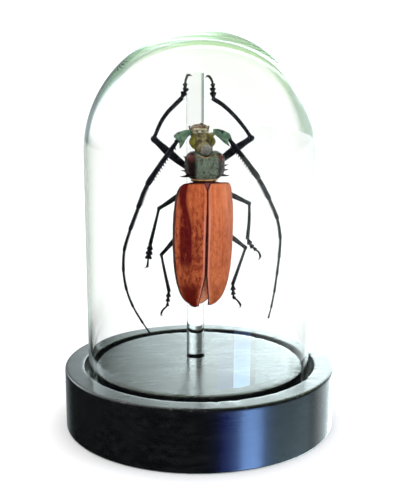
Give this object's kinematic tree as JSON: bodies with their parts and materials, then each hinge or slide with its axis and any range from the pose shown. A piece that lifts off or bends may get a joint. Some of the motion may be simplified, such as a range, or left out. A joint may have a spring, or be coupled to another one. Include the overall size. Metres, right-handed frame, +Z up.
{
  "type": "insect in glass dome",
  "caption": "Long-horned beetle with spread legs, fixed head up to a clear post under a round-topped glass dome on a turned black wooden base.",
  "frame": {"origin": "centre of the base's underside, on the surface that it stands on", "axes": "+Z up along the dome's axis; -Y is the front, the side that the beetle's back faces; +X is to the viewer's right"},
  "size_m": [0.12, 0.12, 0.1732],
  "materials": {
    "black_wood": "black paint with a satin sheen, fine grain showing through",
    "clear_glass": "clear blown glass with a faint green edge tint",
    "clear_acrylic": "clear polished rod",
    "chestnut_shell": "chestnut brown shell with dark red-brown mottling and a soft sheen",
    "dark_red_shell": "very dark red-brown shell with a brown-orange collar",
    "olive_shell": "dark shell with short olive down",
    "black_shell": "black shell with a slight violet sheen",
    "tan_belly": "pale orange-brown, softly segmented"
  },
  "bodies": {
    "root": {"abdomen": "tan_belly", "adhesive_dab": "clear_acrylic", "base": "black_wood", "coxa_front_left": "black_shell", "coxa_front_right": "black_shell", "coxa_hind_left": "black_shell", "coxa_hind_right": "black_shell", "coxa_middle_left": "black_shell", "coxa_middle_right": "black_shell", "dome": "clear_glass", "femur_front_left": "black_shell", "femur_front_right": "black_shell", "femur_hind_left": "black_shell", "femur_hind_right": "black_shell", "femur_middle_left": "black_shell", "femur_middle_right": "black_shell", "flagellum_left": "black_shell", "flagellum_right": "black_shell", "head": "olive_shell", "mandible_left": "dark_red_shell", "mandible_right": "dark_red_shell", "post": "clear_acrylic", "pronotum": "dark_red_shell", "scape_left": "black_shell", "scape_right": "black_shell", "scutellum": "dark_red_shell", "tarsus_front_left": "black_shell", "tarsus_front_right": "black_shell", "tarsus_hind_left": "black_shell", "tarsus_hind_right": "black_shell", "tarsus_middle_left": "black_shell", "tarsus_middle_right": "black_shell", "thorax": "dark_red_shell", "tibia_front_left": "black_shell", "tibia_front_right": "black_shell", "tibia_hind_left": "black_shell", "tibia_hind_right": "black_shell", "tibia_middle_left": "black_shell", "tibia_middle_right": "black_shell", "wing_case_left": "chestnut_shell", "wing_case_right": "chestnut_shell"}
  },
  "joints": []
}
